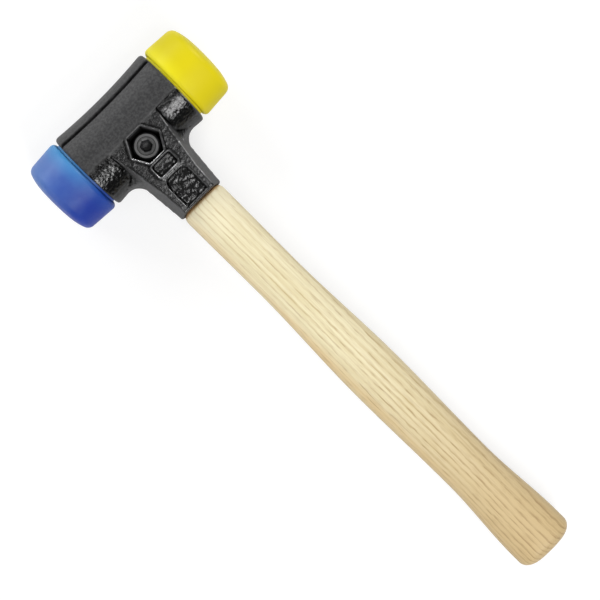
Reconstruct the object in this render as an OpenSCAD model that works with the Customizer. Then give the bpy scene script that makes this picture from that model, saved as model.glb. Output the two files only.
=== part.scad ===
// Soft face hammer: a cast housing in two halves, clamped by one screw round two
// interchangeable faces and a wooden handle. It lies on its side: the head runs
// along X, the handle towards -Y, and the housing parts in a level plane.

/* [Housing barrel] */
// Length of the housing between its two mouths
barrel_l = 56.2; // [50:0.2:70]
// Diameter of the barrel at its mouths
barrel_end_d = 41.2; // [40:0.2:48]
// How far the waist of the barrel draws in
barrel_waist = 1.2; // [0.4:0.1:2]
// Wall between the waist and the bore of a stem
barrel_wall = 4.3; // [3:0.1:8]
// Rounding of the mouths' outer edges
barrel_round = 1.5; // [0.5:0.1:2.5]
// Height of the raised spine along the top of the barrel
spine_rise = 0.15; // [0.1:0.05:1]
// Angle that the spine covers on each half
spine_span = 45; // [25:1:60]
// Width of the groove under the spine
groove_w = 0.9; // [0.5:0.1:1.5]
// Depth of the groove under the spine
groove_depth = 0.45; // [0.2:0.05:0.8]
// Greatest depth of the pocket beside the pad
pocket_depth = 0.8; // [0.2:0.1:1.2]
// Distance from the head's axis to the pocket's upper edge
pocket_y = 4.2; // [3:0.1:7]
// Angle below the front at which the pocket is deepest
pocket_mid = 25; // [15:1:35]
// How much flatter than the barrel the pocket's floor is
pocket_flat = 5; // [3:0.5:10]

/* [Housing neck] */
// Distance from the head's axis to the end of the neck
neck_y = 46.8; // [42:0.2:60]
// Width of the neck at its end
neck_end_w = 25.3; // [24:0.1:30]
// Angle at which each side of the neck opens towards the barrel
neck_taper = 5.1; // [2:0.1:7]
// Draft of the neck's sides
neck_draft = 15; // [6:0.1:18]
// Angle at which the sides open further under the barrel
wing_taper = 10.7; // [7:0.1:14]
// Draft of the sides under the barrel
wing_draft = 11.3; // [6:0.1:18]
// Distance from the end of the neck to where the pad opens further
wing_at = 12; // [6:0.5:20]
// Slope of the pad towards the end of the neck
pad_slope = 8.2; // [5:0.1:9]
// Radius of the blend between barrel and neck
shoulder_r = 8; // [4:0.1:9]
// Height of the gusset in that corner, along the side of the neck
gusset_h = 12; // [6:0.2:15]

/* [Pad marks] */
// Width of a raised rim
rim_w = 0.8; // [0.5:0.1:1.2]
// Height of a raised rim
rim_h = 0.4; // [0.2:0.1:0.8]
// Width of the small panel, over its rim
panel_w = 13; // [10:0.2:15]
// Length of the small panel, over its rim
panel_l = 8.2; // [6:0.2:9]
// Distance from the head's axis to the middle of the small panel
panel_y = 24.9; // [24.4:0.1:26]
// Width of the arched recess
arch_w = 13; // [10:0.2:15]
// Distance from the head's axis to the top of the arched recess
arch_y = 30.4; // [30:0.1:34]
// Radius of the arched recess's upper corners
arch_r = 3.6; // [2:0.1:5]
// Depth of the panel and of the arched recess
mark_depth = 1; // [0.5:0.1:1.5]

/* [Faces] */
// Largest diameter of a face
face_d = 40.6; // [38:0.2:46]
// Overall length of the head, from one striking face to the other
head_l = 96.8; // [90:0.2:110]
// Angle at which a face narrows towards its striking end
face_taper = 3.95; // [1:0.05:6]
// Rounding of a face's rear edge
face_back_r = 2.3; // [1:0.1:3]
// Rounding of a face's striking edge
face_edge_r = 4; // [2.5:0.1:5]
// Radius of the crown round the flat of the striking face
crown_r = 24; // [20:1:40]
// Diameter of the flat in the middle of the striking face
flat_d = 17; // [10:0.5:20]
// Diameter of the collar between face and housing
collar_d = 35.6; // [34:0.2:36]
// Thickness of the collar
collar_l = 1.3; // [0.8:0.1:2]
// Length of the stem inside the housing
stem_l = 17; // [12:0.5:17.5]
// Chamfer of the stem's end
stem_chamfer = 1; // [0.5:0.1:2]

/* [Handle] */
// Distance from the head's axis to the end of the handle
handle_y = 274.45; // [255:0.05:320]
// Width of the handle below the neck
throat_w = 23.4; // [22:0.1:25]
// Thickness of the handle below the neck
throat_t = 20; // [19:0.1:22]
// Width of the slim part
slim_w = 23; // [21:0.1:25]
// Thickness of the slim part
slim_t = 19.4; // [18:0.1:22]
// Width of the palm swell
swell_w = 26.6; // [24:0.1:30]
// Thickness of the palm swell
swell_t = 21; // [19:0.1:24]
// Width of the waist behind the swell
waist_w = 25; // [23:0.1:28]
// Thickness of the waist behind the swell
waist_t = 20.2; // [18:0.1:23]
// Width of the butt
butt_w = 29.3; // [26:0.1:34]
// Thickness of the butt
butt_t = 23; // [20:0.1:28]
// Distance from the end of the neck to the throat's widest place
throat_at = 6; // [5:0.5:10]
// Distance from the end of the neck to the slim part
slim_at = 50; // [30:0.5:60]
// Distance from the end of the neck to the palm swell
swell_at = 115; // [100:0.5:130]
// Distance from the end of the handle to the waist behind the swell
waist_at = 53; // [45:0.5:80]
// Distance from the end of the handle to the butt's widest place
butt_at = 10; // [8:0.1:20]
// Rounding of the butt along the handle
butt_round_l = 5.5; // [4:0.1:8]
// Rounding of the butt across the handle
butt_round_w = 8; // [3:0.1:9]
// Rounding of the shoulder at the neck
throat_round = 2; // [0.5:0.1:2]
// Squareness of the oval section: 2 is an ellipse
oval_power = 2.4; // [2:0.1:3]
// Width of the tenon inside the neck
tenon_w = 19; // [16:0.1:19.6]
// Thickness of the tenon inside the neck
tenon_t = 16; // [12:0.1:17]
// Corner radius of the tenon
tenon_r = 6; // [3:0.1:7]
// Length of the tenon inside the neck
tenon_l = 25.8; // [18:0.1:26]

/* [Clamp] */
// Distance from the head's axis to the clamp screw
screw_y = 12.6; // [11.5:0.1:13]
// Thread diameter of the clamp screw
screw_d = 8; // [7:0.5:8]
// Length of the screw under its head
screw_l = 25; // [24:0.5:26]
// Diameter of the screw's head
screw_head_d = 13; // [11:0.1:13.2]
// Height of the screw's head
screw_head_h = 5; // [4:0.1:8]
// Rounding of the screw head's upper edge
screw_head_r = 1.1; // [0.3:0.1:1.2]
// Width across flats of the socket in the screw's head
key_w = 5; // [4:0.1:6]
// Depth of the socket in the screw's head
key_l = 3; // [2:0.1:3.5]
// Width across flats of the nut
nut_w = 13; // [12.4:0.1:13.2]
// Height of the nut's hexagon
nut_hex_h = 6; // [4:0.1:6.5]
// Overall height of the nut
nut_h = 8; // [7:0.1:8.5]
// Diameter of the nut's round crown
nut_crown_d = 11.8; // [11.5:0.1:12.2]
// Outer diameter of the locking ring in the nut
lock_ring_d = 10.4; // [9.8:0.1:10.6]
// Height of the locking ring
lock_ring_h = 1.6; // [1:0.1:1.8]
// Thickness of the nut's lip over the locking ring
nut_lip = 0.4; // [0.2:0.1:0.6]
// Width across flats of the hexagonal recess at the pad
recess_w = 15; // [14.5:0.1:15.5]
// Height of the recess's floor above the parting plane
seat_z = 8; // [7:0.1:9]

/* [Fits] */
// Gap between the two halves below the spine
clamp_gap = 0.8; // [0.4:0.1:1.2]
// Radial clearance of a stem in its bore
stem_fit = 0.1; // [0.05:0.01:0.3]
// Clearance of the tenon in its socket
tenon_fit = 0.1; // [0.05:0.01:0.3]
// Radial clearance of the screw in the nut
thread_fit = 0.05; // [0.02:0.01:0.1]
// Radial clearance of the screw in the housing
hole_fit = 0.5; // [0.2:0.05:0.8]
// Clearance of the nut across its flats
nut_fit = 0.4; // [0.2:0.05:0.8]

/* [Hidden] */

$fn = 96;
fine_fn = 1440;
arc_steps = 8;
far = 120;

// Barrel
end_r = barrel_end_d / 2;
mid_r = end_r - barrel_waist;
stem_r = mid_r - barrel_wall - stem_fit;
waist_half = barrel_l / 2 - barrel_round;
waist_arc = (waist_half * waist_half + barrel_waist * barrel_waist) / (2 * barrel_waist);
spine_trim = 0.4;
groove_angle = groove_w / mid_r * 180 / PI;

// Pad: a plane that leaves the waist of the barrel just under its tangent
pad_sink = 0.12;
pad_y = (mid_r - pad_sink) * sin(pad_slope);
pad_z = (mid_r - pad_sink) * cos(pad_slope);
function pad_at(y) = (y - pad_y) / cos(pad_slope);
function pad_height(y) = pad_z - (y - pad_y) * tan(pad_slope);

// Half width of the wing at the neck's end, so that both planes meet on the pad at wing_at
wing_half_w = neck_end_w / 2 - wing_at * (tan(wing_taper) - tan(neck_taper))
    - pad_height(neck_y - wing_at) * (tan(neck_draft) - tan(wing_draft));

// Depth to which a gusset's corner is sunk into the barrel and the neck
gusset_sink = 0.2;

// Clamp
web_w = barrel_l - 2 * stem_l - 4 * stem_fit;
hole_r = screw_d / 2 + hole_fit;
floor_w = nut_w + nut_fit;
recess_h = pad_height(screw_y) - seat_z;
rib_y = stem_r + 2 * stem_fit + 1;

// Frame: the origin lies under the middle of the whole hammer
top_y = max(end_r + spine_rise, face_d / 2);
frame_y = (handle_y - top_y) / 2;
frame_z = max(end_r, face_d / 2);

function arc(centre, r, from, to) =
    [for (i = [0 : arc_steps])
        let (a = from + (to - from) * i / arc_steps)
        centre + r * [sin(a), cos(a)]];

// Skin over a row of sections with equally many points, closed at both ends
module loft(sections) {
    n = len(sections[0]);
    last = len(sections) - 1;
    sides = [for (j = [0 : last - 1], i = [0 : n - 1], half = [0, 1])
        let (a = j * n + i, b = j * n + (i + 1) % n)
        half == 0 ? [a, b + n, b] : [a, a + n, b + n]];
    first_end = [for (i = [0 : n - 1]) i];
    last_end = [for (i = [n - 1 : -1 : 0]) last * n + i];
    polyhedron([for (section = sections) each section], concat(sides, [first_end, last_end]));
}

module in_frame() {
    translate([0, frame_y, frame_z])
        children();
}

module turned_along_x() {
    rotate([0, 90, 0])
        children();
}

module rounded_rectangle(w, l, r) {
    square([w - 2 * r, l], center = true);
    square([w, l - 2 * r], center = true);
    for (x = [-1, 1], y = [-1, 1])
        translate([x * (w / 2 - r), y * (l / 2 - r)])
            circle(r);
}

// Half section of the barrel: radius across, head axis upwards
module barrel_section(rise, trim) {
    r = end_r + rise;
    reach = waist_half - trim;
    difference() {
        union() {
            translate([0, -reach])
                square([r, 2 * reach]);
            translate([0, -reach - barrel_round])
                square([r - barrel_round, 2 * (reach + barrel_round)]);
            for (side = [-1, 1])
                translate([r - barrel_round, side * reach])
                    circle(barrel_round);
        }
        translate([r - barrel_waist + waist_arc, 0])
            circle(waist_arc, $fn = fine_fn);
    }
}

module barrel() {
    turned_along_x()
        rotate_extrude()
            barrel_section(0, 0);
}

// The cast pockets are cut down to a wider and longer barrel that is shifted back
module pocketed_barrel() {
    shift = pocket_flat + pocket_depth;
    difference() {
        barrel();
        difference() {
            translate([-far / 2, -far / 2, 0])
                cube([far, far / 2 - pocket_y, far]);
            translate([0, shift * sin(pocket_mid), -shift * cos(pocket_mid)])
                turned_along_x()
                    rotate_extrude()
                        barrel_section(pocket_flat, -barrel_l / 4);
        }
    }
}

// The spine is a shell that starts inside the barrel's wall and stops short of the mouths
module spine() {
    below_parting = 10;
    inner_r = (stem_r + mid_r) / 2;
    turned_along_x()
        rotate([0, 0, 90 - below_parting])
            rotate_extrude(angle = below_parting + spine_span)
                difference() {
                    barrel_section(spine_rise, spine_trim);
                    translate([0, -barrel_l])
                        square([inner_r, 2 * barrel_l]);
                }
}

// The groove leaves a floor of barrel shape under the spine's lower edge
module spine_groove() {
    turned_along_x()
        rotate([0, 0, 90 + spine_span])
            rotate_extrude(angle = groove_angle)
                difference() {
                    translate([0, -barrel_l])
                        square([2 * end_r, 2 * barrel_l]);
                    barrel_section(-groove_depth, -barrel_l);
                }
}

// Plane of one drafted side of the neck, seen from its corner at the neck's end
module on_side(half_w, taper, draft) {
    translate([half_w, -neck_y, 0])
        rotate([0, -draft, 0])
            rotate([0, 0, -taper])
                children();
}

module drafted_side(half_w, taper, draft) {
    past_middle = -1.2 * half_w;
    on_side(half_w, taper, draft)
        translate([past_middle, -neck_y, -end_r])
            cube([-past_middle, 3 * neck_y, 2 * barrel_end_d]);
}

// The neck proper, and the wing that opens it towards the barrel
module neck_side() {
    drafted_side(neck_end_w / 2, neck_taper, neck_draft);
    drafted_side(wing_half_w, wing_taper, wing_draft);
}

// Gusset between barrel and neck: hollow-cornered from above, sloping from the side
module gusset() {
    r = shoulder_r - gusset_sink;
    inner_h = gusset_h * (1 + shoulder_r / r);
    on_side(neck_end_w / 2, neck_taper, neck_draft)
        translate([0, (neck_y - mid_r) / cos(neck_taper), 0])
            intersection() {
                translate([0, 0, -shoulder_r])
                    linear_extrude(shoulder_r + inner_h)
                        difference() {
                            translate([-shoulder_r, -r])
                                square([shoulder_r + r, 2 * r]);
                            translate([r, -r])
                                circle(shoulder_r);
                        }
                translate([0, shoulder_r, 0])
                    rotate([90, 0, 0])
                        linear_extrude(2 * shoulder_r)
                            polygon([[-shoulder_r, -shoulder_r], [r, -shoulder_r], [r, 0],
                                     [-shoulder_r, inner_h]]);
            }
}

module on_pad() {
    translate([0, -pad_y, pad_z])
        rotate([pad_slope, 0, 0])
            children();
}

module neck() {
    difference() {
        for (side = [0, 1])
            mirror([side, 0, 0]) {
                neck_side();
                gusset();
            }
        on_pad()
            translate([-far / 2, -far, 0])
                cube([far, 2 * far, far]);
        translate([-far / 2, -pad_y, -far])
            cube([far, far, 2 * far]);
        translate([-far / 2, -neck_y - far, -far])
            cube([far, far, 2 * far]);
    }
}

// Outlines on the pad, grown by the given amount
module panel_outline(grow) {
    translate([0, -pad_at(panel_y)])
        rounded_rectangle(panel_w + 2 * grow, panel_l + 2 * grow, panel_l / 4 + grow);
}

module arch_outline(grow) {
    l = neck_y - arch_y - rim_w;
    w = arch_w + 2 * grow;
    translate([0, -pad_at(arch_y) - l / 2]) {
        rounded_rectangle(w, l + 2 * grow, arch_r + grow);
        translate([-w / 2, -l / 2 - grow])
            square([w, l / 2]);
    }
}

module recess_outline(grow) {
    translate([0, -pad_at(screw_y)])
        circle((recess_w / 2 + grow) / cos(30), $fn = 6);
}

module rims() {
    on_pad()
        translate([0, 0, -rim_h])
            linear_extrude(2 * rim_h) {
                panel_outline(0);
                recess_outline(rim_w);
            }
}

module marks() {
    on_pad()
        translate([0, 0, -mark_depth])
            linear_extrude(2 * mark_depth) {
                panel_outline(-rim_w);
                arch_outline(0);
            }
}

module clamp_recess() {
    draft_w = recess_w - floor_w;
    translate([0, -screw_y, seat_z])
        cylinder(h = 2 * recess_h, d1 = floor_w / cos(30), d2 = (floor_w + 2 * draft_w) / cos(30), $fn = 6);
    translate([0, -screw_y, -far / 2])
        cylinder(h = far, r = hole_r);
}

module stem_bores() {
    for (side = [0, 1])
        mirror([side, 0, 0])
            translate([web_w / 2, 0, 0])
                turned_along_x()
                    cylinder(h = barrel_l, r = stem_r + stem_fit);
}

module tenon_bar(grow, l) {
    rotate([90, 0, 0])
        linear_extrude(l)
            rounded_rectangle(tenon_w + 2 * grow, tenon_t + 2 * grow, tenon_r + grow);
}

module tenon_socket() {
    translate([0, tenon_l + tenon_fit - neck_y, 0])
        tenon_bar(tenon_fit, far);
}

// The half that lies above the parting plane
module casting() {
    difference() {
        union() {
            pocketed_barrel();
            spine();
            neck();
            rims();
        }
        spine_groove();
        marks();
        clamp_recess();
        stem_bores();
        tenon_socket();
        translate([-far / 2, -far / 2, -far])
            cube([far, far, far]);
        translate([-far / 2, rib_y - far, -clamp_gap / 2])
            cube([far, far, clamp_gap]);
    }
}

// Half section of a face: radius across, head axis upwards, from the middle of the head
module face_section() {
    mouth = barrel_l / 2;
    back = mouth + collar_l;
    front = head_l / 2;
    back_centre = [face_d / 2 - face_back_r, back + face_back_r];
    along = [-sin(face_taper), cos(face_taper)];
    outward = [cos(face_taper), sin(face_taper)];
    crown_centre = [flat_d / 2, front - crown_r];
    from_crown = back_centre + (face_back_r - face_edge_r) * outward - crown_centre;
    step = from_crown * along;
    reach = crown_r - face_edge_r;
    edge_centre = crown_centre + from_crown
        + (sqrt(step * step - from_crown * from_crown + reach * reach) - step) * along;
    to_edge = edge_centre - crown_centre;
    edge_angle = atan2(to_edge.x, to_edge.y);
    polygon(concat(
        [[0, mouth - stem_l],
         [stem_r - stem_chamfer, mouth - stem_l],
         [stem_r, mouth - stem_l + stem_chamfer],
         [stem_r, mouth],
         [collar_d / 2, mouth],
         [collar_d / 2, back]],
        arc(back_centre, face_back_r, 180, 90 - face_taper),
        arc(edge_centre, face_edge_r, 90 - face_taper, edge_angle),
        arc(crown_centre, crown_r, edge_angle, 0),
        [[0, front]]));
}

module face() {
    turned_along_x()
        rotate_extrude()
            face_section();
}

// Handle: stations along it as distance from the neck's end, half width and half thickness
handle_l = handle_y - neck_y;
stations = [[0, throat_w / 2, throat_t / 2],
            [throat_at, throat_w / 2, throat_t / 2],
            [slim_at, slim_w / 2, slim_t / 2],
            [swell_at, swell_w / 2, swell_t / 2],
            [handle_l - waist_at, waist_w / 2, waist_t / 2],
            [handle_l - butt_at, butt_w / 2, butt_t / 2],
            [handle_l, butt_w / 2, butt_t / 2]];
throat_round_l = throat_at * 0.55;
handle_sides = 32;
end_rings = 6;
body_rings = 30;
ring_at = concat(
    [for (i = [0 : end_rings - 1]) throat_round_l * i / end_rings],
    [for (i = [0 : body_rings])
        throat_round_l + (handle_l - butt_round_l - throat_round_l) * i / body_rings],
    [for (i = [1 : end_rings]) handle_l - butt_round_l * (1 - sin(90 * i / end_rings))]);

function ease(t) = t * t * (3 - 2 * t);
function station_under(s) = max([for (i = [0 : len(stations) - 2]) if (stations[i].x <= s) i]);
function half_size(s, axis) =
    let (i = station_under(s),
         a = stations[i],
         b = stations[i + 1],
         t = ease((s - a.x) / (b.x - a.x)))
    a[axis] + (b[axis] - a[axis]) * t;
// How far the rounded ends draw the outline in
function quarter(d, l, w) = d >= l ? 0 : w * (1 - sqrt(1 - pow(1 - d / l, 2)));
function drawn_in(s) =
    quarter(s, throat_round_l, throat_round) + quarter(handle_l - s, butt_round_l, butt_round_w);
function power(v) = sign(v) * pow(abs(v), 2 / oval_power);
function ring(s) =
    [for (i = [0 : handle_sides - 1])
        let (a = 360 * i / handle_sides)
        [power(cos(a)) * (half_size(s, 1) - drawn_in(s)),
         -neck_y - s,
         power(sin(a)) * (half_size(s, 2) - drawn_in(s))]];

module handle_body() {
    loft([for (s = ring_at) ring(s)]);
}

module front_housing_half() {
    color("#2b2c2e")
        in_frame()
            casting();
}

module rear_housing_half() {
    color("#2b2c2e")
        in_frame()
            rotate([0, 180, 0])
                casting();
}

module soft_face() {
    color("#3a68b8")
        in_frame()
            mirror([1, 0, 0])
                face();
}

module hard_face() {
    color("#ecdc1e")
        in_frame()
            face();
}

module handle() {
    color("#ead9ac")
        in_frame() {
            handle_body();
            translate([0, tenon_l - neck_y, 0])
                tenon_bar(0, tenon_l);
        }
}

module clamp_screw() {
    head_r = screw_head_d / 2;
    tip = screw_d / 8;
    color("#3a3a3c")
        in_frame()
            translate([0, -screw_y, seat_z])
                difference() {
                    rotate_extrude()
                        polygon(concat(
                            [[0, -screw_l],
                             [screw_d / 2 - tip, -screw_l],
                             [screw_d / 2, tip - screw_l],
                             [screw_d / 2, 0],
                             [head_r, 0]],
                            arc([head_r - screw_head_r, screw_head_h - screw_head_r], screw_head_r, 90, 0),
                            [[0, screw_head_h]]));
                    translate([0, 0, screw_head_h - key_l])
                        cylinder(h = screw_head_h, d = key_w / cos(30), $fn = 6);
                }
}

module clamp_nut() {
    ring_z = nut_h - nut_lip - lock_ring_h;
    color("#b4b6b8")
        in_frame()
            translate([0, -screw_y, -seat_z])
                rotate([180, 0, 0])
                    difference() {
                        union() {
                            cylinder(h = nut_hex_h, d = nut_w / cos(30), $fn = 6);
                            cylinder(h = nut_h, d = nut_crown_d);
                        }
                        translate([0, 0, -nut_h])
                            cylinder(h = 3 * nut_h, r = screw_d / 2 + thread_fit);
                        translate([0, 0, ring_z])
                            cylinder(h = lock_ring_h, d = lock_ring_d);
                    }
}

module nut_locking_ring() {
    ring_z = nut_h - nut_lip - lock_ring_h;
    color("#e8e6dc")
        in_frame()
            translate([0, -screw_y, -seat_z])
                rotate([180, 0, 0])
                    translate([0, 0, ring_z])
                        difference() {
                            cylinder(h = lock_ring_h, d = lock_ring_d - 2 * thread_fit);
                            translate([0, 0, -lock_ring_h])
                                cylinder(h = 3 * lock_ring_h, r = screw_d / 2 + thread_fit);
                        }
}

front_housing_half();
rear_housing_half();
soft_face();
hard_face();
handle();
clamp_screw();
clamp_nut();
nut_locking_ring();
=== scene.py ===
# %% [markdown]
# # A soft face hammer
# The hammer lies on its side: the head runs along X, the handle towards -Y, and the cast housing parts in
# a level plane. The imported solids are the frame, so every piece here is placed by what the frame says.

# %% Load the frame
import math
import bmesh
import bpy
import mathutils
from mathutils import Matrix, Vector


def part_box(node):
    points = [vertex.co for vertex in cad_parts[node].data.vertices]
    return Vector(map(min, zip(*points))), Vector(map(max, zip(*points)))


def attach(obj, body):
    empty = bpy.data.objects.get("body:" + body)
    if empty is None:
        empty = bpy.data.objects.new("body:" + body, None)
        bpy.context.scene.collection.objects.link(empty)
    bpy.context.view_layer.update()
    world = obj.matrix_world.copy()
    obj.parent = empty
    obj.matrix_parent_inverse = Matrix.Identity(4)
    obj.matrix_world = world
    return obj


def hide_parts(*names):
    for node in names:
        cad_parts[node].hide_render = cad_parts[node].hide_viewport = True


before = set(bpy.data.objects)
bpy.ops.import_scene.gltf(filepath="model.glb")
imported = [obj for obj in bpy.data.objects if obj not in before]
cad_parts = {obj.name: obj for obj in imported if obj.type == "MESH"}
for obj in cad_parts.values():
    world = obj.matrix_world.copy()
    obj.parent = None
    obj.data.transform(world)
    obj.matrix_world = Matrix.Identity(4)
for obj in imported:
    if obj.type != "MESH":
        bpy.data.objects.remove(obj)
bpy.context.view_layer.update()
print("solids:", sorted(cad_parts))

# %% [markdown]
# All sizes are in metres. Two places are needed again and again: the axis of the head, which is the middle
# of a face, and the axis of the clamp screw. Reading them from the solids keeps the pieces and the solids
# together when a size changes.

# %% Places on the hammer
MM = 0.001
face_low, face_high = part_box("hard_face")
head = Vector((0, (face_low.y + face_high.y) / 2, (face_low.z + face_high.z) / 2))
screw_low, screw_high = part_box("clamp_screw")
screw_axis = Vector((0, (screw_low.y + screw_high.y) / 2, head.z))
print("head axis, mm:", [round(c / MM, 2) for c in head])
print("screw axis, mm:", [round(c / MM, 2) for c in screw_axis])

# %% [markdown]
# A finished piece is always handed over in the same way: the bmesh becomes an object at the origin, rides on
# a body of the frame and hides the solid that it stands for. One helper keeps that in one place. Normals are
# recalculated, because a spin can leave a shape inside out, and an edge where two faces meet steeply is kept
# sharp.


# %% Helper that hands over a piece
def hand_over(bm, name, body, node):
    bmesh.ops.remove_doubles(bm, verts=bm.verts, dist=1e-7)
    bmesh.ops.recalc_face_normals(bm, faces=bm.faces)
    mesh = bpy.data.meshes.new(name)
    bm.to_mesh(mesh)
    bm.free()
    piece = bpy.data.objects.new(name, mesh)
    bpy.context.scene.collection.objects.link(piece)
    mesh.shade_smooth()
    mesh.set_sharp_from_angle(angle=math.radians(38))
    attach(piece, body)
    if node:
        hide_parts(node)
    print(name, "has", len(mesh.polygons), "faces")
    return piece


# %% [markdown]
# ## The housing
# The housing is two copies of one iron casting, painted black. A casting has no sharp edge anywhere. The
# solid has the right form but knife edges, and a bevel on its many cut edges would break up. So a copy of
# the solid is merged, given a new even skin of small quads by a voxel remesh, and its edges are then relaxed.


# %% Helper for a soft-edged casting
def soft_casting(node, body):
    bm = bmesh.new()
    bm.from_mesh(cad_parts[node].data)
    piece = hand_over(bm, node + "_casting", body, node)
    skin = piece.modifiers.new("skin", "REMESH")
    skin.mode = "VOXEL"
    skin.voxel_size = 0.42 * MM
    relax = piece.modifiers.new("relax", "SMOOTH")
    relax.factor = 0.5
    relax.iterations = 4
    depsgraph = bpy.context.evaluated_depsgraph_get()
    piece.data = bpy.data.meshes.new_from_object(piece.evaluated_get(depsgraph))
    piece.modifiers.clear()
    piece.data.shade_smooth()
    print(piece.name, "now has", len(piece.data.polygons), "faces")
    return piece


front_casting = soft_casting("front_housing_half", "housing_front")
rear_casting = soft_casting("rear_housing_half", "housing_rear")

# %% [markdown]
# Molten iron needs wide roundings where two walls meet. The general easing of the edges is too little for a
# few corners: where the wings of the neck rise into the pockets, and at the upper edge of one pocket. Those
# corners are smoothed on their own, each in a box given in millimetres from the middle of the head. The rear
# half is the same casting turned round, so its boxes are turned round too.


# %% Widen some roundings
def flow(piece, outwards, low, high, rounds):
    bm = bmesh.new()
    bm.from_mesh(piece.data)
    chosen = []
    for vert in bm.verts:
        off = (vert.co - head) / MM
        spot = (outwards * off.x, off.y, outwards * off.z)
        if all(a < c < b for a, c, b in zip(low, spot, high)):
            chosen.append(vert)
    for i in range(rounds):
        bmesh.ops.smooth_vert(
            bm, verts=chosen, factor=0.5, use_axis_x=True, use_axis_y=True, use_axis_z=True
        )
    bm.to_mesh(piece.data)
    bm.free()
    print(piece.name, "is smoothed on", len(chosen), "vertices")


hard_side_wing = (10.5, -22.0, 2.0), (20.0, -13.5, 25.0)
soft_side_wing = (-20.0, -22.0, 2.0), (-10.5, -13.5, 25.0)
pocket_edge = (-27.0, -6.5, 14.0), (-12.0, -0.5, 25.0)
for piece, outwards in ((front_casting, 1), (rear_casting, -1)):
    flow(piece, outwards, *hard_side_wing, rounds=14)
    flow(piece, outwards, *soft_side_wing, rounds=14)
    flow(piece, outwards, *pocket_edge, rounds=16)

# %% [markdown]
# Sand leaves its mark on an iron casting. The barrel is dressed smooth, while the pad, the pockets beside it
# and above all the floors of the recesses keep the grain of the mould. Each vertex gets three values that the
# paint reads later: "sand", how rough the skin is, one for worn rims, which is strong only on the rims that
# face the hard face and the spine and so is mostly a painted highlight, and one for painted shade: in
# corners, in the groove under the spine, at the edges of the pockets and in the well of the screw.
# dark: in corners, in the groove under the spine, at the edges of the pockets and in the well of the screw.
# Rims and corners are told apart by how the faces at a vertex turn. Where the skin is rough, the vertices are
# also moved, so that the lumps are real and catch the light, and the groove is sunk a little deeper.


# %% Helpers that measure the skin of a casting
def eased(value, low, high):
    t = min(max((value - low) / (high - low), 0.0), 1.0)
    return t * t * (3 - 2 * t)


def within(value, low, full, still_full, high):
    return eased(value, low, full) * (1 - eased(value, still_full, high))


def lump_at(spot, width):
    return mathutils.noise.fractal(spot / width, 1.0, 2.0, 2)


def turn_at(vert):
    return sum(edge.calc_face_angle_signed(0.0) for edge in vert.link_edges)


# %% Where a spot lies on a casting
neck_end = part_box("front_housing_half")[0].y
pad_slope = math.radians(8.2)
pad_r = 19.28 * MM
groove_angle = 46.4
groove_r = 19.2 * MM
print("the neck ends at y, mm:", round(neck_end / MM, 2))


def groove_at(spot):
    angle = math.degrees(math.atan2(abs(spot.z - head.z), spot.y - head.y))
    off = math.radians(abs(angle - groove_angle)) * groove_r
    return 1 - eased(off, 0.5 * MM, 1.4 * MM)


def below_at(spot):
    depth = head.y - spot.y + 0.8 * MM * lump_at(spot, 3 * MM)
    over_pad = 1 - eased(abs(spot.x), 12.5 * MM, 15.5 * MM)
    starts, full = 4.0 - 2.5 * over_pad, 5.4 + 2.1 * over_pad
    return eased(depth, starts * MM, full * MM)


def recess_at(spot):
    in_width = 1 - eased(abs(spot.x), 5.6 * MM, 6.6 * MM)
    return in_width * eased(head.y - spot.y, 24.4 * MM, 25.4 * MM)


def floor_at(spot):
    below_pad = pad_r - (head.y - spot.y) * math.sin(pad_slope) - abs(spot.z - head.z) * math.cos(pad_slope)
    return eased(below_pad, 0.3 * MM, 0.7 * MM)


def pocket_at(spot):
    return eased(abs(spot.x), 14.5 * MM, 16.0 * MM)


# painted shade at the pockets: under their upper edge, at their foot and along their inner side
def pocket_shade_at(spot):
    depth = (head.y - spot.y) / MM + 0.9 * lump_at(spot, 2 * MM)
    top = within(depth, 3.8, 5.2, 6.4, 8.4)
    foot = within(depth, 11.4, 13.4, 17.0, 20.0)
    inside = within(depth, 4.4, 5.4, 13.0, 16.0)
    corner = within(abs(spot.x) / MM, 14.2, 15.0, 15.8, 17.4)
    return max(pocket_at(spot) * max(0.9 * top, 0.5 * foot), 0.9 * corner * inside)


# painted shade in the well round the screw
def well_shade_at(spot):
    off = math.hypot(spot.x, spot.y - screw_axis.y)
    height = abs(spot.z - head.z)
    return (1 - eased(off, 8.7 * MM, 9.3 * MM)) * (1 - eased(height, 15.0 * MM, 17.0 * MM))


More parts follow.
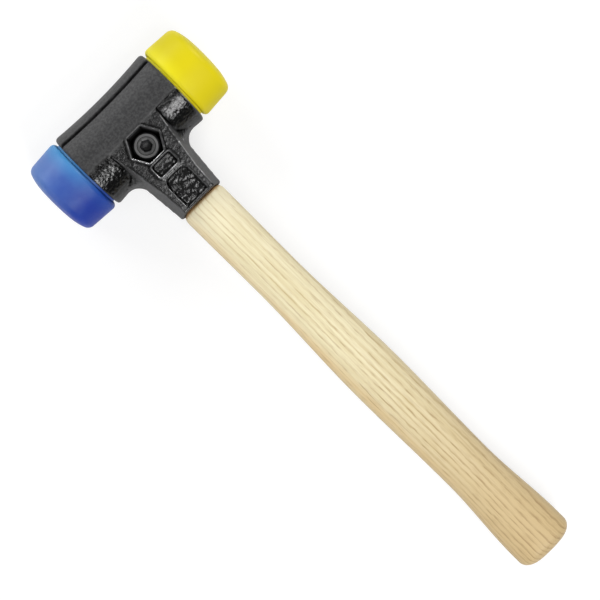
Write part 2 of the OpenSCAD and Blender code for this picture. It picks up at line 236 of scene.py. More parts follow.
# %% Roughen the castings
def roughen(piece, outwards):
    bm = bmesh.new()
    bm.from_mesh(piece.data)
    sand = bm.verts.layers.float.new("sand")
    rub_and_highlight = bm.verts.layers.float.new("rub_and_highlight")
    painted_shade = bm.verts.layers.float.new("painted_shade")
    bm.normal_update()
    bm.verts.index_update()
    turns = [turn_at(vert) for vert in bm.verts]
    moves = []
    for vert in bm.verts:
        near = [turns[edge.other_vert(vert).index] for edge in vert.link_edges]
        turn = (turns[vert.index] + sum(near) / len(near)) / 2
        up = outwards * vert.normal.z
        groove = groove_at(vert.co) * eased(up, 0.2, 0.4)
        floor_like = max(recess_at(vert.co), pocket_at(vert.co))
        vert[sand] = below_at(vert.co) * eased(up, 0.35, 0.62) * (0.8 + 0.2 * floor_like)
        from_end = (vert.co.y - neck_end) / MM
        # painted highlight: rims that face the hard face and the spine count far more than the others, as if
        # lit
        facing = eased(0.8 * vert.normal.x + 0.6 * vert.normal.y, 0.0, 0.4)
        worn_and_highlit = eased(turn, 0.4, 1.1) * (0.08 + 0.92 * facing)
        vert[rub_and_highlight] = worn_and_highlit * eased(head.y - vert.co.y, 3.4 * MM, 4.6 * MM) * eased(from_end, 0.9, 2.0)
        # painted shade: concave corners, the groove under the spine, the pocket edges and the screw's well
        vert[painted_shade] = max(eased(-turn, 0.15, 0.6), groove, pocket_shade_at(vert.co), 0.8 * well_shade_at(vert.co))
        lump = (0.07 + 0.04 * floor_like) * lump_at(vert.co, 1.1 * MM)
        steep = 0.3 + 0.25 * eased(vert.co.x, 0.0, 3 * MM)
        crumple = steep * recess_at(vert.co) * floor_at(vert.co) * lump_at(vert.co, 2.2 * MM)
        rise = (lump + crumple) * vert[sand] * eased(from_end, 0.5, 1.6)
        sunk = 0.85 * groove * (1 + 0.4 * lump_at(vert.co, 2 * MM))
        moves.append(vert.normal * (rise - sunk) * MM)
    for vert, move in zip(bm.verts, moves):
        vert.co += move
    bm.to_mesh(piece.data)
    bm.free()
    print(piece.name, "is rough on", sum(1 for move in moves if move.length > 0), "vertices")


roughen(front_casting, 1)
roughen(rear_casting, -1)

# %% [markdown]
# ## The paint
# A material is a tree of nodes, and a tree made in Python soon fills pages. These helpers keep it readable:
# one makes a material and hands back its shader, and the others add nodes and join them to what feeds them.
# All patterns read Object coordinates, so they stay on a piece when it moves.


# %% Helpers that start a material
def new_finish(name):
    finish = bpy.data.materials.new(name)
    finish.use_nodes = True
    return finish, finish.node_tree, finish.node_tree.nodes["Principled BSDF"]


def feed(tree, socket, value):
    if isinstance(value, bpy.types.NodeSocket):
        tree.links.new(value, socket)
    else:
        socket.default_value = value


def place(tree, scale, move=(0, 0, 0)):
    where = tree.nodes.new("ShaderNodeTexCoord")
    mapping = tree.nodes.new("ShaderNodeMapping")
    mapping.inputs["Location"].default_value = move
    mapping.inputs["Scale"].default_value = scale
    tree.links.new(where.outputs["Object"], mapping.inputs["Vector"])
    return mapping.outputs["Vector"]


# %% Helpers that read a place and make a pattern
def axes_of(tree, vector):
    node = tree.nodes.new("ShaderNodeSeparateXYZ")
    tree.links.new(vector, node.inputs["Vector"])
    return node.outputs["X"], node.outputs["Y"], node.outputs["Z"]


def painted(tree, name):
    node = tree.nodes.new("ShaderNodeAttribute")
    node.attribute_name = name
    return node.outputs["Fac"]


def noise(tree, vector, scale, detail=2.0, roughness=0.5):
    node = tree.nodes.new("ShaderNodeTexNoise")
    tree.links.new(vector, node.inputs["Vector"])
    node.inputs["Scale"].default_value = scale
    node.inputs["Detail"].default_value = detail
    node.inputs["Roughness"].default_value = roughness
    return node.outputs["Fac"]


# %% Helpers that change a value
def ramp(tree, value, low, high, to_low=0.0, to_high=1.0):
    node = tree.nodes.new("ShaderNodeMapRange")
    node.interpolation_type = "SMOOTHSTEP"
    tree.links.new(value, node.inputs["Value"])
    node.inputs["From Min"].default_value = low
    node.inputs["From Max"].default_value = high
    node.inputs["To Min"].default_value = to_low
    node.inputs["To Max"].default_value = to_high
    return node.outputs["Result"]


def sums(tree, operation, a, b=0.0):
    node = tree.nodes.new("ShaderNodeMath")
    node.operation = operation
    feed(tree, node.inputs[0], a)
    feed(tree, node.inputs[1], b)
    return node.outputs[0]


def times(tree, a, b):
    return sums(tree, "MULTIPLY", a, b)


def plus(tree, a, b):
    return sums(tree, "ADD", a, b)


def larger(tree, a, b):
    return sums(tree, "MAXIMUM", a, b)


def far_from_axis(tree, a, b):
    return sums(tree, "SQRT", plus(tree, sums(tree, "POWER", a, 2.0), sums(tree, "POWER", b, 2.0)))


# %% Helpers for colour and relief
def between(tree, factor, a, b):
    node = tree.nodes.new("ShaderNodeMix")
    node.data_type = "RGBA"
    feed(tree, node.inputs["Factor"], factor)
    feed(tree, node.inputs["A"], a)
    feed(tree, node.inputs["B"], b)
    return node.outputs["Result"]


def bump(tree, shader, height, depth, strength=1.0):
    node = tree.nodes.new("ShaderNodeBump")
    node.inputs["Strength"].default_value = strength
    node.inputs["Distance"].default_value = depth
    feed(tree, node.inputs["Height"], height)
    tree.links.new(node.outputs["Normal"], shader.inputs["Normal"])


def colour(r, g, b):
    return (r, g, b, 1.0)


def grey(level):
    return colour(level, level, level)


# %% [markdown]
# The black paint is one coat all over. What changes is the skin under it: dull and a little greyer on the
# dressed barrel and the neck's sides, glossy and black where the sand shows. On the rims the paint is rubbed
# through to bright iron, strongly on those that look towards the hard face and the spine and faintly
# elsewhere, which makes it mostly a painted highlight. Where the painted shade is high, the paint turns near
# black and metallic, so hardly any light comes back.

# %% Paint of the housing
paint, tree, shader = new_finish("black_paint_on_iron")
here = place(tree, (1, 1, 1))
sand = painted(tree, "sand")
coarse = noise(tree, here, 900, 3, 0.6)
fine = noise(tree, here, 2800, 2, 0.5)
drops = noise(tree, here, 170, 2, 0.5)
grain = plus(tree, coarse, times(tree, fine, 0.4))
height = plus(tree, grain, times(tree, drops, 0.3))
bump(tree, shader, height, 0.08 * MM, 1.0)
speckle = ramp(tree, coarse, 0.35, 0.65)
dull = between(tree, speckle, colour(0.022, 0.022, 0.023), colour(0.052, 0.052, 0.053))
black = between(tree, speckle, grey(0.008), grey(0.016))
coat = between(tree, sand, dull, black)
# painted highlight, partly wear: rims turn to bright iron, most on those facing the hard face and the spine
rubbed_and_highlit = times(tree, painted(tree, "rub_and_highlight"), ramp(tree, drops, 0.35, 0.6, 0.4, 1.0))
thin_and_lit = between(tree, rubbed_and_highlit, coat, colour(0.75, 0.75, 0.76))
# painted shade: near black and metallic where this value is high
painted_shade = painted(tree, "painted_shade")
feed(tree, shader.inputs["Base Color"], between(tree, painted_shade, thin_and_lit, grey(0.003)))
feed(tree, shader.inputs["Roughness"], ramp(tree, larger(tree, sand, rubbed_and_highlit), 0, 1, 0.6, 0.13))
feed(tree, shader.inputs["Metallic"], times(tree, larger(tree, rubbed_and_highlit, painted_shade), 0.9))
shader.inputs["Specular IOR Level"].default_value = 0.5
for piece in (front_casting, rear_casting):
    piece.data.materials.clear()
    piece.data.materials.append(paint)
print("paint on", front_casting.name, "and", rear_casting.name)

# %% [markdown]
# ## The two faces
# A face is turned round the head's axis, so half of its section is drawn in a plane and spun. Each rounding
# of the section is itself a spin of one vertex about the centre of the rounding, and each straight part is
# one extruded vertex. The same section serves both faces, because they fit both bores.


# %% Helpers that draw a section
def only_vert(geometry):
    return [g for g in geometry if isinstance(g, bmesh.types.BMVert)][-1]


def line_to(bm, vert, x, r):
    made = bmesh.ops.extrude_vert_indiv(bm, verts=[vert])
    last = made["verts"][0]
    last.co = (x * MM, r * MM, 0)
    return last


def lines_to(bm, vert, corners):
    for x, r in corners:
        vert = line_to(bm, vert, x, r)
    return vert


def arc_about(bm, vert, x, r, angle, steps):
    centre = (x * MM, r * MM, 0)
    made = bmesh.ops.spin(
        bm, geom=[vert], cent=centre, axis=(0, 0, 1), angle=math.radians(angle), steps=steps
    )
    return only_vert(made["geom_last"])


def turn_section(bm, steps):
    section = bm.verts[:] + bm.edges[:]
    bmesh.ops.spin(
        bm, geom=section, cent=(0, 0, 0), axis=(1, 0, 0), angle=math.tau, steps=steps, use_merge=True
    )


# %% Section of a face
face_front = face_high.x / MM
face_r = (face_high.z - face_low.z) / 2 / MM
taper = 3.95
mouth, back = 28.1, 29.1
back_r, edge_r, crown_r, flat_r = 2.3, 4.0, 24.0, 8.5
collar_r, stem_r, stem_end, stem_chamfer = 17.8, 15.0, 11.1, 1.0
back_at = Vector((back + back_r, face_r - back_r))
side = Vector((math.cos(math.radians(taper)), -math.sin(math.radians(taper))))
away = Vector((math.sin(math.radians(taper)), math.cos(math.radians(taper))))
crown_at = Vector((face_front - crown_r, flat_r))
offset = back_at + (back_r - edge_r) * away - crown_at
step = offset.dot(side)
reach = math.sqrt(step ** 2 - offset.length_squared + (crown_r - edge_r) ** 2) - step
edge_at = crown_at + offset + reach * side
crown_turn = math.degrees(math.atan2(edge_at.y - crown_at.y, edge_at.x - crown_at.x))
print("crown turns", round(crown_turn, 1), "degrees to the edge")


def face_section(bm):
    point = bm.verts.new((face_front * MM, 0, 0))
    point = lines_to(bm, point, ((face_front, flat_r / 2), (face_front, flat_r)))
    point = arc_about(bm, point, crown_at.x, crown_at.y, crown_turn, 10)
    point = arc_about(bm, point, edge_at.x, edge_at.y, 90 - taper - crown_turn, 10)
    point = line_to(bm, point, *(back_at + back_r * away))
    point = arc_about(bm, point, back_at.x, back_at.y, 90 + taper, 9)
    collar = ((back, collar_r), (mouth, collar_r), (mouth, stem_r))
    stem = ((stem_end + stem_chamfer, stem_r), (stem_end, stem_r - stem_chamfer), (stem_end, 0))
    lines_to(bm, point, collar + stem)


# %% Turn the two faces
def moulded_face(node, body, direction):
    bm = bmesh.new()
    face_section(bm)
    turn_section(bm, 128)
    if direction < 0:
        half_turn = Matrix.Rotation(math.pi, 3, "Z")
        bmesh.ops.rotate(bm, verts=bm.verts, cent=(0, 0, 0), matrix=half_turn)
    bmesh.ops.translate(bm, verts=bm.verts, vec=head)
    return hand_over(bm, node + "_moulding", body, node)


soft_moulding = moulded_face("soft_face", "face_soft", -1)
hard_moulding = moulded_face("hard_face", "face_hard", 1)

# %% [markdown]
# The blue face is a soft elastomer and the yellow one a hard plastic. Both let a little light in, and both
# have a satin skin with faint clouds where the melt flowed. The blue is painted darker on the handle's side
# and paler on the other, a painted shade and sheen of the light from the far side, while the yellow hardly
# changes. Towards the back edge both are painted lighter, most of all on the side away from the handle: this
# is painted light shining through the thin wall there. Light that enters and leaves again is what the shader
# calls subsurface, and it reaches about two millimetres under the surface here.


# %% Plastics of the two faces
def plastic(name, near_handle, far_side, at_back, rough, gloss, depth):
    finish, tree, shader = new_finish(name)
    where = place(tree, (1, 1, 1))
    clouds = noise(tree, where, 60, 3, 0.55)
    skin = noise(tree, where, 1400, 2, 0.5)
    waves = noise(tree, where, 120, 1, 0.5)
    x, y = axes_of(tree, place(tree, (1, 1, 1), (0, -head.y, -head.z)))[:2]
    # painted light: lighter towards the thin back edge and on the side away from the handle
    thin_and_lit = ramp(tree, sums(tree, "ABSOLUTE", x), 38 * MM, 29 * MM)
    thin_and_lit = times(tree, thin_and_lit, ramp(tree, y, -16 * MM, 12 * MM, 0.1, 0.9))
    # painted shade and sheen: a gradient along Y between the handle's side and the far side, mixed with
    # clouds
    clouds_and_lit_side = plus(tree, times(tree, clouds, 0.4), ramp(tree, y, -20 * MM, 20 * MM, 0.05, 0.55))
    cloudy_lit_tone = between(tree, ramp(tree, clouds_and_lit_side, 0.25, 0.75), near_handle, far_side)
    feed(tree, shader.inputs["Base Color"], between(tree, thin_and_lit, cloudy_lit_tone, at_back))
    feed(tree, shader.inputs["Roughness"], ramp(tree, skin, 0.2, 0.8, rough - 0.05, rough + 0.06))
    shader.inputs["Specular IOR Level"].default_value = gloss
    shader.inputs["Subsurface Weight"].default_value = 0.1
    shader.inputs["Subsurface Radius"].default_value = (1.0, 1.0, 1.0)
    shader.inputs["Subsurface Scale"].default_value = 2.0 * MM
    bump(tree, shader, plus(tree, waves, times(tree, skin, 0.08)), depth)
    return finish


blue_tones = colour(0.008, 0.04, 0.35), colour(0.105, 0.21, 0.53), colour(0.06, 0.3, 0.63)
blue = plastic("soft_blue_elastomer", *blue_tones, 0.48, 0.3, 0.2 * MM)
yellow_tones = colour(0.83, 0.69, 0.004), colour(0.74, 0.63, 0.004), colour(0.9, 0.82, 0.018)
yellow = plastic("hard_yellow_plastic", *yellow_tones, 0.5, 0.25, 0.15 * MM)
soft_moulding.data.materials.append(blue)
hard_moulding.data.materials.append(yellow)
print("plastics:", blue.name, yellow.name)

# %% [markdown]
# ## The handle
# The handle is oval, and its width and its thickness swell and narrow on their own, so a spin would not give
# it. It is built as a row of rings instead. Each ring starts as a circle and is pressed to a slightly squared
# oval of the width and thickness at its place, and neighbouring rings are bridged. Inside the neck a plain
# tenon, squarer and thinner, goes on into the housing.

# %% Widths and thicknesses along the handle
handle_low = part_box("handle")[0]
length = (neck_end - handle_low.y) / MM
stations = [
    (0.0, 11.7, 10.0),
    (6.0, 11.7, 10.0),
    (50.0, 11.5, 9.7),
    (115.0, 13.3, 10.5),
    (length - 53.0, 12.5, 10.1),
    (length - 10.0, 14.65, 11.5),
    (length, 14.65, 11.5),
]
print("handle below the neck, mm:", round(length, 1))


def half_sizes(along):
    before, after = [(a, b) for a, b in zip(stations, stations[1:]) if a[0] <= along][-1]
    t = (along - before[0]) / (after[0] - before[0])
    t = t * t * (3 - 2 * t)
    return [a + (b - a) * t for a, b in zip(before[1:], after[1:])]


def drawn_in(distance, over, by):
    return by * (1 - math.sqrt(1 - (1 - distance / over) ** 2)) if distance < over else 0.0


# %% Rings of the handle
def oval_ring(bm, along, half_w, half_t, power):
    made = bmesh.ops.create_circle(bm, segments=72, radius=1.0)
    for vert in made["verts"]:
        x, z = vert.co.x, vert.co.y
        wide = math.copysign(abs(x) ** (2 / power), x) * half_w
        thick = math.copysign(abs(z) ** (2 / power), z) * half_t
        vert.co = (wide * MM, neck_end - along * MM, head.z + thick * MM)
    return list({edge for vert in made["verts"] for edge in vert.link_edges})


shoulder_run, shoulder_drop = 3.3, 2.0
butt_run, butt_drop = 5.5, 8.0
tenon_w, tenon_t = 9.5, 8.0
tenon_squareness, grip_squareness = 4.0, 2.4
middle_run = length - butt_run - shoulder_run
places = [shoulder_run * i / 8 for i in range(8)]
places += [shoulder_run + middle_run * i / 70 for i in range(71)]
places += [length - butt_run * (1 - math.sin(math.pi / 2 * i / 12)) for i in range(1, 13)]
print("the handle has", len(places), "rings and a tenon")

# %% Bridge the rings
bm = bmesh.new()
rings = []
for along, less in ((-25.8, 0.6), (-25.2, 0.0), (-0.05, 0.0)):
    rings.append(oval_ring(bm, along, tenon_w - less, tenon_t - less, tenon_squareness))
for along in places:
    wide, thick = half_sizes(along)
    less = drawn_in(along, shoulder_run, shoulder_drop) + drawn_in(length - along, butt_run, butt_drop)
    rings.append(oval_ring(bm, along, wide - less, thick - less, grip_squareness))
for first, second in zip(rings, rings[1:]):
    bmesh.ops.bridge_loops(bm, edges=first + second)
for edges in (rings[0], rings[-1]):
    made = bmesh.ops.holes_fill(bm, edges=edges, sides=0)
    bmesh.ops.inset_region(bm, faces=made["faces"], thickness=1.0 * MM, use_even_offset=True)
turned_handle = hand_over(bm, "turned_handle", "shaft", "handle")

# %% [markdown]
# Hickory is ring-porous: each year leaves a row of coarse pores and then dense pale wood. Cut along the tree,
# the rings become long lines. So the grain is built as the tree built it: rings round a pith that lies to one
# side of the handle and below it, uneven in width and bent a little along Y. A picture of wood wrapped round
# the handle would have a seam and would smear on the butt, and rings in space do neither.

# %% Year rings of the handle
wood, tree, shader = new_finish("pale_hickory")
x, y = axes_of(tree, place(tree, (1, 1, 1), (0, -head.y, -head.z)))[:2]
pith_x, pith_z = -55 * MM, head.z - 20 * MM
across, up = axes_of(tree, place(tree, (1, 1, 1), (-pith_x, 0, -pith_z)))[::2]
from_pith = far_from_axis(tree, across, up)
year_width = 2.3 * MM
bend = noise(tree, place(tree, (26, 2.8, 26)), 1.0, 2, 0.5)
uneven = noise(tree, place(tree, (110, 1.5, 110)), 1.0, 1, 0.5)
ripple = noise(tree, place(tree, (200, 240, 200)), 1.0, 2, 0.5)
waves = plus(tree, times(tree, uneven, 0.5), times(tree, ripple, 0.13))
wander = plus(tree, bend, waves)
bent = plus(tree, from_pith, times(tree, wander, 6 * MM))
year = sums(tree, "FRACT", sums(tree, "DIVIDE", bent, year_width))
early = times(tree, ramp(tree, year, 0.0, 0.1), ramp(tree, year, 0.5, 0.12))
strength = ramp(tree, noise(tree, place(tree, (330, 2.0, 60)), 1.0, 1, 0.5), 0.35, 0.65, 0.3, 1.0)
dashes = ramp(tree, noise(tree, place(tree, (800, 130, 800)), 1.0, 2, 0.5), 0.35, 0.62, 0.4, 1.0)
line = times(tree, times(tree, early, strength), dashes)
print("years are", round(year_width / MM, 1), "mm wide")

# %% [markdown]
# The colour starts from pale fibres and is tinted in steps, where each step covers the one before it as far
# as its factor says. The wood is painted lighter near the neck, painted light that lifts the shadow of the
# head, and darker tan on its flanks, partly random blotches and partly painted shade where the oval turns
# away from the light. It is browner towards its end. The year lines and the fine pores, stretched along the
# grain, come last, with a brown line at the neck's rim.

# %% Colour of the handle
fibre = noise(tree, place(tree, (800, 20, 800)), 1.0, 3, 0.65)
pore = noise(tree, place(tree, (1700, 130, 1700)), 1.0, 2, 0.5)
pores = times(tree, ramp(tree, pore, 0.5, 0.66), ramp(tree, early, 0.0, 1.0, 0.3, 1.0))
patch = noise(tree, place(tree, (60, 22, 60)), 1.0, 2, 0.5)
towards_end = ramp(tree, y, -115 * MM, -275 * MM)
blotches = ramp(tree, patch, 0.35, 0.65, 0.3, 1.0)
left_flank = times(tree, ramp(tree, x, -7.0 * MM, -11.0 * MM), blotches)
right_flank = times(tree, ramp(tree, x, 8.5 * MM, 12.5 * MM), 0.25)
flank = times(tree, larger(tree, left_flank, right_flank), 0.75)
pale = between(tree, ramp(tree, fibre, 0.3, 0.7), colour(0.80, 0.70, 0.43), colour(0.92, 0.84, 0.58))
# painted light: paler near the neck, where the head's shadow falls
painted_light_near_neck = between(tree, ramp(tree, y, -80 * MM, -50 * MM, 0.0, 0.6), pale, colour(0.97, 0.9, 0.66))
# painted shade, partly random blotches: darker tan on the flanks
tan_and_shaded = between(tree, flank, painted_light_near_neck, colour(0.76, 0.55, 0.27))
ripe = between(tree, towards_end, tan_and_shaded, colour(0.64, 0.48, 0.25))
dark_line = between(tree, towards_end, colour(0.60, 0.46, 0.22), colour(0.40, 0.26, 0.12))
ringed = between(tree, times(tree, line, 0.95), ripe, dark_line)
open_pores = times(tree, pores, ramp(tree, y, -60 * MM, -200 * MM, 0.25, 0.7))
pored = between(tree, open_pores, ringed, colour(0.42, 0.28, 0.13))
past_rim = ramp(tree, y, -45.2 * MM, -46.2 * MM)
shoulder = times(tree, ramp(tree, y, -48.8 * MM, -47.4 * MM), past_rim)
feed(tree, shader.inputs["Base Color"], between(tree, shoulder, pored, colour(0.58, 0.36, 0.15)))
feed(tree, shader.inputs["Roughness"], ramp(tree, fibre, 0.2, 0.8, 0.44, 0.58))
shader.inputs["Specular IOR Level"].default_value = 0.35
bump(tree, shader, sums(tree, "SUBTRACT", fibre, pores), 0.05 * MM, 0.6)
turned_handle.data.materials.append(wood)
print("wood on", turned_handle.name)

# %% [markdown]
# ## Screw and nut
# The clamp screw is a turned blank with a low round head, a hexagon socket and a rolled thread. The blank is
# a spun section. Its open rim on top is joined to a hexagon with as many points by bridging two loops, which
# gives the chamfer of the socket, and the hexagon is then extruded down and drawn together to the cone that a
# punch leaves.

# %% Turn the screw
head_r = (screw_high.x - screw_low.x) / 2 / MM
head_height = 5.0
seat = screw_high.z - head_height * MM
around = 120


def screw_blank(bm):
    point = bm.verts.new((4.95 * MM, 3.1 * MM, 0))
    flat_end = head_r - 1.1
    ring_groove = ((4.95, 4.1), (4.7, 4.25), (head_height, 4.5), (head_height, flat_end))
    point = lines_to(bm, point, ring_groove)
    point = arc_about(bm, point, head_height - 1.1, flat_end, 90, 7)
    under_head = ((0.5, head_r), (0.0, head_r - 0.3), (0.0, 4.3))
    shank = ((-0.5, 3.95), (-3.0, 3.95), (-3.5, 3.4), (-24.2, 3.4), (-25.0, 2.8), (-25.0, 0))
    lines_to(bm, point, under_head + shank)


bm = bmesh.new()
screw_blank(bm)
turn_section(bm, around)
bmesh.ops.remove_doubles(bm, verts=bm.verts, dist=1e-7)
print("blank of the screw has", len(bm.faces), "faces")


# %% Punch the socket
def moved(bm, made, along, scale=1.0):
    verts = [g for g in made["geom"] if isinstance(g, bmesh.types.BMVert)]
    bmesh.ops.translate(bm, verts=verts, vec=(along * MM, 0, 0))
    bmesh.ops.scale(bm, verts=verts, vec=(1, scale, scale))
    return [g for g in made["geom"] if isinstance(g, bmesh.types.BMEdge)]


key_width = 5.0
corner_r = key_width / 2 / math.cos(math.pi / 6) * MM
rim = [edge for edge in bm.edges if edge.is_boundary]
hexagon = bmesh.ops.create_circle(bm, segments=6, radius=corner_r)["verts"]
turned = Matrix.Translation((4.65 * MM, 0, 0)) @ Matrix.Rotation(math.pi / 2, 4, "Y")
bmesh.ops.transform(bm, matrix=turned, verts=hexagon)
sides = list({edge for vert in hexagon for edge in vert.link_edges})
bmesh.ops.subdivide_edges(bm, edges=sides, cuts=around // 6 - 1)
loop = [edge for edge in bm.edges if edge.is_wire]
bmesh.ops.bridge_loops(bm, edges=rim + loop)
loop = moved(bm, bmesh.ops.extrude_edge_only(bm, edges=loop), -2.6)
loop = moved(bm, bmesh.ops.extrude_edge_only(bm, edges=loop), 0.0, 0.9)
loop = moved(bm, bmesh.ops.extrude_edge_only(bm, edges=loop), -0.9, 0.1)
bmesh.ops.holes_fill(bm, edges=[edge for edge in bm.edges if edge.is_boundary], sides=0)
print("with its socket it has", len(bm.faces), "faces")

# %% [markdown]
# The side of the head is knurled for the fingers. A knurl is a row of fine notches, so every second face of
# the band is inset and pushed in.

# %% Knurl the head
band = []
for face in bm.faces:
    middle = face.calc_center_median()
    if 0.6 * MM < middle.x < 3.8 * MM and math.hypot(middle.y, middle.z) > 6.0 * MM:
        band.append((math.atan2(middle.z, middle.y), face))
band.sort(key=lambda item: item[0])
notches = [item[1] for item in band[::2]]
bmesh.ops.inset_individual(bm, faces=notches, thickness=0.04 * MM, depth=-0.12 * MM)
on_seat = Matrix.Translation(Vector((0, screw_axis.y, seat)))
upright = on_seat @ Matrix.Rotation(-math.pi / 2, 4, "Y")
bmesh.ops.transform(bm, matrix=upright, verts=bm.verts)
screw = hand_over(bm, "turned_screw", "screw", "clamp_screw")

# %% [markdown]
# A rolled thread is one tooth wound round the shank. The section of the tooth is a small closed loop, and a
# spin that also climbs by one pitch per turn makes the helix, whose two ends are then closed.

# %% Roll the thread
bm = bmesh.new()
pitch = 1.25
turns = 16
steps = 40
lowest_tooth = 24.3 * MM
corners = ((3.3, -0.6), (3.98, -0.08), (3.98, 0.08), (3.3, 0.6))
tooth = [bm.verts.new((r * MM, 0, rise * MM)) for r, rise in corners]
sides = [bm.edges.new(pair) for pair in zip(tooth, tooth[1:] + tooth[:1])]
climb = (0, 0, pitch * MM / steps)
wound = math.tau * turns
bmesh.ops.spin(
    bm, geom=tooth + sides, cent=(0, 0, 0), axis=(0, 0, 1), dvec=climb, angle=wound, steps=steps * turns
)
bmesh.ops.holes_fill(bm, edges=[edge for edge in bm.edges if edge.is_boundary], sides=0)
bmesh.ops.translate(bm, verts=bm.verts, vec=(0, screw_axis.y, seat - lowest_tooth))
thread = hand_over(bm, "rolled_thread", "screw", None)

# %% [markdown]
# The nut on the back is made as a machine makes it: a blank with two cones and a round crown is turned first,
# and six flats are then cut on it by planes. That gives the bowed edges of a real nut without any drawing.
# The crown is rolled over a ring of polyamide that grips the thread.

# %% Turn and mill the nut
nut_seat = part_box("clamp_nut")[1].z
under_seat = Matrix.Translation(Vector((0, screw_axis.y, nut_seat)))
hang = under_seat @ Matrix.Rotation(math.pi / 2, 4, "Y")
flat_at = 6.5 * MM
bm = bmesh.new()
first = bm.verts.new((0.4 * MM, 4.05 * MM, 0))
bore = ((6.0, 4.05), (6.0, 5.2), (7.6, 5.2), (7.6, 4.75), (7.85, 4.6), (8.0, 4.75), (8.0, 5.2))
outside = ((6.2, 5.9), (6.0, 6.2), (5.1, 7.7), (0.9, 7.7), (0.0, 6.2), (0.0, 4.45))
point = lines_to(bm, first, bore)
point = arc_about(bm, point, 7.3, 5.2, 90, 6)
point = lines_to(bm, point, outside)
bm.edges.new((point, first))
turn_section(bm, 96)
bmesh.ops.remove_doubles(bm, verts=bm.verts, dist=1e-7)
for i in range(6):
    out = Vector((0, math.cos(math.tau * i / 6), math.sin(math.tau * i / 6)))
    everything = bm.verts[:] + bm.edges[:] + bm.faces[:]
    cut = bmesh.ops.bisect_plane(
        bm, geom=everything, plane_co=out * flat_at, plane_no=out, clear_outer=True
    )
    open_edges = [g for g in cut["geom_cut"] if isinstance(g, bmesh.types.BMEdge)]
    bmesh.ops.holes_fill(bm, edges=open_edges, sides=0)
bmesh.ops.transform(bm, matrix=hang, verts=bm.verts)
nut = hand_over(bm, "milled_nut", "housing_rear", "clamp_nut")

# %% [markdown]
# The ring is a washer of polyamide with a small chamfer where the screw comes out. A section of five points,
# closed and turned once, is all it needs, and it hangs in the same place as the nut.

# %% Turn the locking ring
bm = bmesh.new()
first = bm.verts.new((6.05 * MM, 4.12 * MM, 0))
point = lines_to(bm, first, ((7.35, 4.12), (7.55, 4.3), (7.55, 5.12), (6.05, 5.12)))
bm.edges.new((point, first))
turn_section(bm, 96)
bmesh.ops.transform(bm, matrix=hang, verts=bm.verts)
ring = hand_over(bm, "polyamide_ring", "housing_rear", "nut_locking_ring")

# %% [markdown]
# The screw is blackened steel. Its top flat is painted a lighter grey, and the floor of its socket a little,
# partly rubbed by keys and fingers and partly a painted reflection of the light above, while the rounding and
# the side are still black. So the colour follows the height and the distance from the screw's axis, which
# needs no painting by hand.

# %% Black steel of the screw
steel, tree, shader = new_finish("blackened_steel")
where = place(tree, (1, 1, 1), (0, -screw_axis.y, -screw_high.z))
x, y, z = axes_of(tree, where)
radius = far_from_axis(tree, x, y)
# painted reflection and wear: the top flat and the socket floor are lighter grey
on_top = times(tree, ramp(tree, radius, 5.65 * MM, 5.35 * MM), ramp(tree, z, -0.3 * MM, -0.12 * MM))
mottle = noise(tree, where, 900, 3, 0.6)
scratch = noise(tree, place(tree, (300, 4200, 300)), 1.0, 2, 0.5)
on_floor = times(tree, ramp(tree, radius, 2.0 * MM, 1.5 * MM), ramp(tree, z, -2.2 * MM, -2.6 * MM))
touched_and_lit = ramp(tree, z, -4.5 * MM, -4.1 * MM, 0.0, 0.35)
bare_and_highlit = larger(tree, on_top, times(tree, on_floor, touched_and_lit))
inner = between(tree, ramp(tree, scratch, 0.3, 0.7), grey(0.12), colour(0.2, 0.2, 0.198))
rubbed_and_highlit = between(tree, ramp(tree, radius, 4.3 * MM, 4.5 * MM), inner, grey(0.3))
black, worn_black = colour(0.014, 0.014, 0.015), colour(0.028, 0.028, 0.03)
oxide = between(tree, ramp(tree, mottle, 0.3, 0.7), black, worn_black)
feed(tree, shader.inputs["Base Color"], between(tree, bare_and_highlit, oxide, rubbed_and_highlit))
feed(tree, shader.inputs["Roughness"], ramp(tree, mottle, 0.2, 0.8, 0.36, 0.5))
shader.inputs["Metallic"].default_value = 0.4
bump(tree, shader, mottle, 0.03 * MM, 0.5)
for piece in (screw, thread):
    piece.data.materials.append(steel)
print("steel on", screw.name, "and", thread.name)

# %% [markdown]
# Zinc plate is a bright metal that dulls in clouds, so one soft noise drives its colour, its roughness and
# its relief together. Polyamide is milky and nearly even, and a finer noise between close colours is enough.

# %% Zinc of the nut and polyamide of its ring
zinc, tree, shader = new_finish("zinc_plate")
where = place(tree, (1, 1, 1))
bloom = noise(tree, where, 420, 3, 0.6)
clouded = between(tree, ramp(tree, bloom, 0.3, 0.7), colour(0.42, 0.43, 0.45), grey(0.6))
feed(tree, shader.inputs["Base Color"], clouded)
feed(tree, shader.inputs["Roughness"], ramp(tree, bloom, 0.2, 0.8, 0.28, 0.46))
shader.inputs["Metallic"].default_value = 0.9
bump(tree, shader, bloom, 0.02 * MM, 0.4)
nut.data.materials.append(zinc)
white_plastic, tree, shader = new_finish("natural_polyamide")
speck = noise(tree, place(tree, (1, 1, 1)), 700, 2, 0.5)
milky = between(tree, ramp(tree, speck, 0.3, 0.7), colour(0.72, 0.71, 0.64), colour(0.8, 0.79, 0.73))
feed(tree, shader.inputs["Base Color"], milky)
feed(tree, shader.inputs["Roughness"], ramp(tree, speck, 0.2, 0.8, 0.4, 0.5))
bump(tree, shader, speck, 0.02 * MM, 0.3)
ring.data.materials.append(white_plastic)
print("finishes:", zinc.name, white_plastic.name)

# %% [markdown]
# ## Floor, light and camera
# The hammer rests on its barrel and on its butt, so the floor leans by about two degrees in this frame. It is
# white for the camera, and the shadow of the hammer still falls on it. More light on the floor would bleach
# the pale wood too, so the white comes from a glow that only the camera and reflections see.

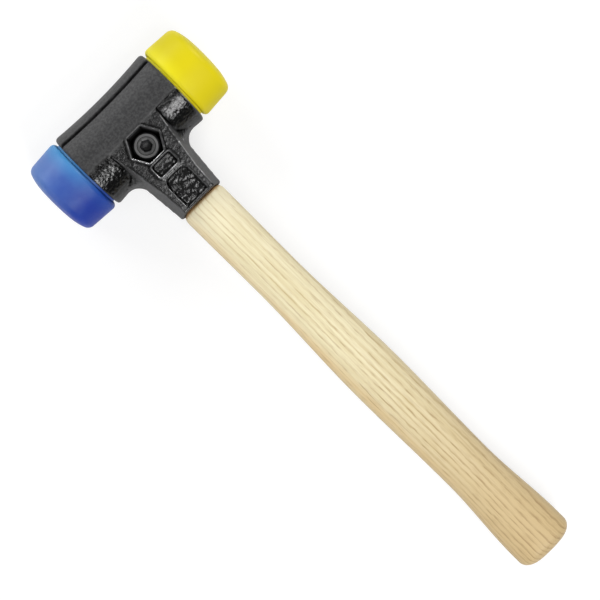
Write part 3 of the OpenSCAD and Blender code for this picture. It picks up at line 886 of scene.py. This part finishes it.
# %% Floor
barrel_r = head.z
clearance = 0.1 * MM
butt_rests_at = handle_low.y + 10.0 * MM
lean = math.atan2(handle_low.z, head.y - butt_rests_at)
bm = bmesh.new()
bmesh.ops.create_grid(bm, x_segments=1, y_segments=1, size=60.0)
tilt = Matrix.Rotation(-lean, 4, "X")
under = head - Vector((0, math.sin(lean), math.cos(lean))) * (barrel_r + clearance)
bmesh.ops.transform(bm, matrix=Matrix.Translation(under) @ tilt, verts=bm.verts)
mesh = bpy.data.meshes.new("floor")
bm.to_mesh(mesh)
bm.free()
floor = bpy.data.objects.new("floor", mesh)
bpy.context.scene.collection.objects.link(floor)
white, tree, shader = new_finish("white_floor")
shader.inputs["Base Color"].default_value = grey(0.35)
shader.inputs["Roughness"].default_value = 0.9
shader.inputs["Emission Color"].default_value = grey(1.0)
rays = tree.nodes.new("ShaderNodeLightPath")
seen = larger(tree, rays.outputs["Is Camera Ray"], rays.outputs["Is Glossy Ray"])
seen = larger(tree, seen, rays.outputs["Is Transmission Ray"])
feed(tree, shader.inputs["Emission Strength"], times(tree, seen, 0.7))
mesh.materials.append(white)
print("floor leans", round(math.degrees(lean), 2), "degrees")

# %% [markdown]
# Black paint shows mostly what it reflects. So five soft boxes stand round the hammer, and the edges of the
# casting find one to reflect on every side. Area lamps are taken because their reflections have a shape and
# their shadows are soft. A faint white world fills the darkest places.

# %% Lights
boxes_aim = Vector((0, 0.04, 0.02))
boxes_distance = 1.2


def softbox(name, direction, size, power):
    lamp = bpy.data.lights.new(name, "AREA")
    lamp.shape = "RECTANGLE"
    lamp.size, lamp.size_y = size
    lamp.energy = power
    box = bpy.data.objects.new(name, lamp)
    way = Vector(direction).normalized()
    box.location = boxes_aim + way * boxes_distance
    box.rotation_euler = way.to_track_quat("Z", "Y").to_euler()
    bpy.context.scene.collection.objects.link(box)
    print(name, "gives", power, "watts")


softbox("far_side_box", (-0.1, 0.92, 0.37), (0.8, 0.5), 7.0)
softbox("handle_side_box", (-0.17, -0.7, 0.71), (0.5, 0.5), 7.5)
softbox("upper_box", (0.05, -0.3, 0.95), (0.3, 0.25), 1.9)
softbox("hard_side_box", (0.86, 0.26, 0.42), (0.4, 0.3), 6.7)
softbox("soft_side_box", (-0.9, 0.1, 0.45), (1.0, 0.6), 4.6)
world = bpy.data.worlds.new("studio")
world.use_nodes = True
sky = world.node_tree.nodes["Background"]
sky.inputs["Color"].default_value = grey(1.0)
sky.inputs["Strength"].default_value = 0.1
bpy.context.scene.world = world

# %% [markdown]
# The camera looks straight down on the parting plane and is rolled, so that the hammer lies across the
# picture. Its focal length follows from its distance and from the width that the picture shows at that plane.

# %% Camera
distance = 700 * MM
picture_width, pixels_per_mm = 600, 2.16
seen_width = picture_width / pixels_per_mm * MM
picture_middle = Vector((-0.32 * MM, head.y - 111.5 * MM, head.z))
roll = -45.1
lens = bpy.data.cameras.new("camera")
lens.sensor_width = 36.0
lens.lens = lens.sensor_width * distance / seen_width
camera = bpy.data.objects.new("camera", lens)
camera.location = picture_middle + Vector((0, 0, distance))
camera.rotation_euler = (0, 0, math.radians(roll))
bpy.context.scene.collection.objects.link(camera)
bpy.context.scene.camera = camera
bpy.context.scene.view_settings.view_transform = "Standard"
print("camera sees a width of", round(seen_width / MM, 1), "mm")
